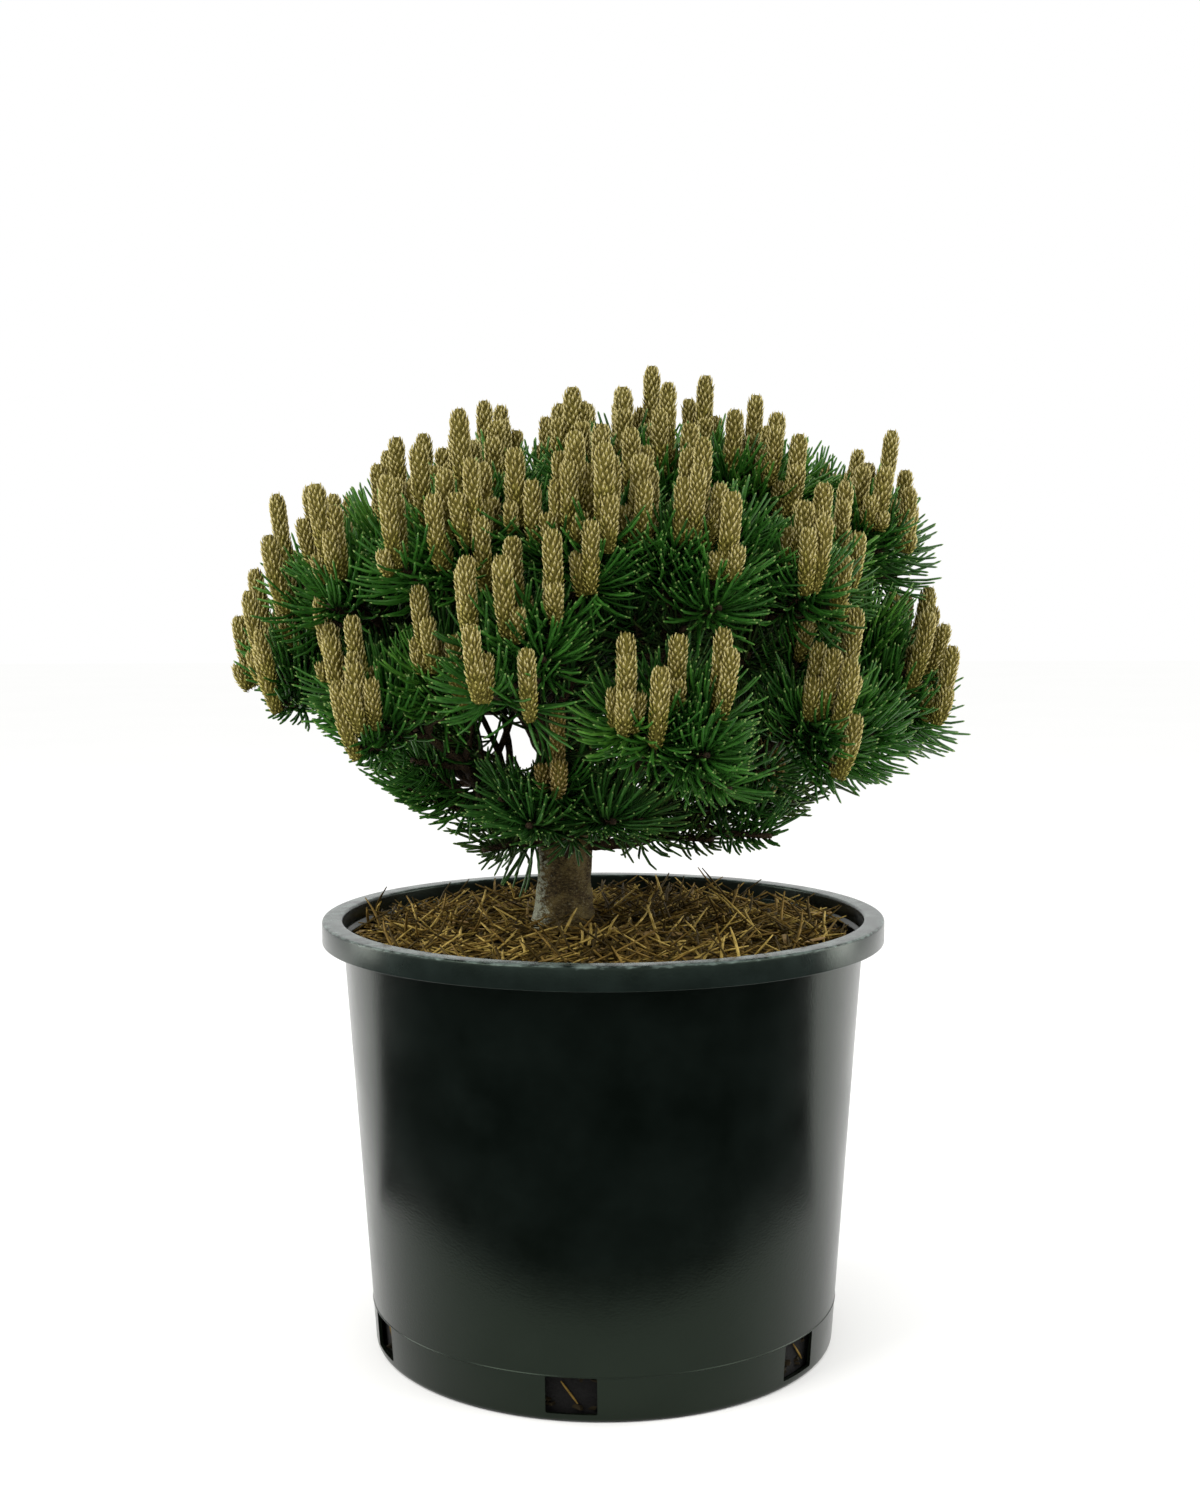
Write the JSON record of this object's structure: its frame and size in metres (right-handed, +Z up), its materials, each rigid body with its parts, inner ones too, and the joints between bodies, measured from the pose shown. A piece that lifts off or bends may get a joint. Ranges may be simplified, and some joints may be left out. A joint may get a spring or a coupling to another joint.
{
  "type": "potted mugo pine",
  "caption": "Young mugo pine in flower, a low dome of needle masses with upright candles, on a short trunk in a round black nursery pot.",
  "frame": {"origin": "middle of the pot's flat underside", "axes": "+Z up along the pot's axis, -Y towards the front that the picture shows, +X to the viewer's right"},
  "size_m": [0.5202, 0.4951, 0.6881],
  "materials": {
    "black_polypropylene": "satin moulded",
    "potting_mix": "rough pine straw and bark",
    "pine_bark": "scaly bark",
    "pine_needles": "waxy needles and papery candles"
  },
  "bodies": {
    "root": {"pot": "black_polypropylene", "potting_mix": "potting_mix", "trunk": "pine_bark", "bough_low_left": "pine_bark", "bough_low_front": "pine_bark", "bough_low_right": "pine_bark", "bough_low_back_right": "pine_bark", "bough_low_back_left": "pine_bark", "bough_mid_left": "pine_bark", "bough_mid_front_left": "pine_bark", "bough_mid_front": "pine_bark", "bough_mid_front_right": "pine_bark", "bough_mid_right_front": "pine_bark", "bough_mid_right": "pine_bark", "bough_mid_back_right": "pine_bark", "bough_mid_back": "pine_bark", "bough_mid_back_left": "pine_bark", "bough_mid_left_back": "pine_bark", "bough_high_left": "pine_bark", "bough_high_front_left": "pine_bark", "bough_high_front": "pine_bark", "bough_high_front_right": "pine_bark", "bough_high_right_front": "pine_bark", "bough_high_right": "pine_bark", "bough_high_back_right": "pine_bark", "bough_high_back": "pine_bark", "bough_high_left_back": "pine_bark", "bough_top_left": "pine_bark", "bough_top_front": "pine_bark", "bough_top_right": "pine_bark", "bough_top_back": "pine_bark", "foliage_low_left": "pine_needles", "foliage_low_front": "pine_needles", "foliage_low_right": "pine_needles", "foliage_low_back_right": "pine_needles", "foliage_low_back_left": "pine_needles", "foliage_mid_left": "pine_needles", "foliage_mid_front_left": "pine_needles", "foliage_mid_front": "pine_needles", "foliage_mid_front_right": "pine_needles", "foliage_mid_right_front": "pine_needles", "foliage_mid_right": "pine_needles", "foliage_mid_back_right": "pine_needles", "foliage_mid_back": "pine_needles", "foliage_mid_back_left": "pine_needles", "foliage_mid_left_back": "pine_needles", "foliage_high_left": "pine_needles", "foliage_high_front_left": "pine_needles", "foliage_high_front": "pine_needles", "foliage_high_front_right": "pine_needles", "foliage_high_right_front": "pine_needles", "foliage_high_right": "pine_needles", "foliage_high_back_right": "pine_needles", "foliage_high_back": "pine_needles", "foliage_high_left_back": "pine_needles", "foliage_top_left": "pine_needles", "foliage_top_front": "pine_needles", "foliage_top_right": "pine_needles", "foliage_top_back": "pine_needles"}
  },
  "joints": []
}
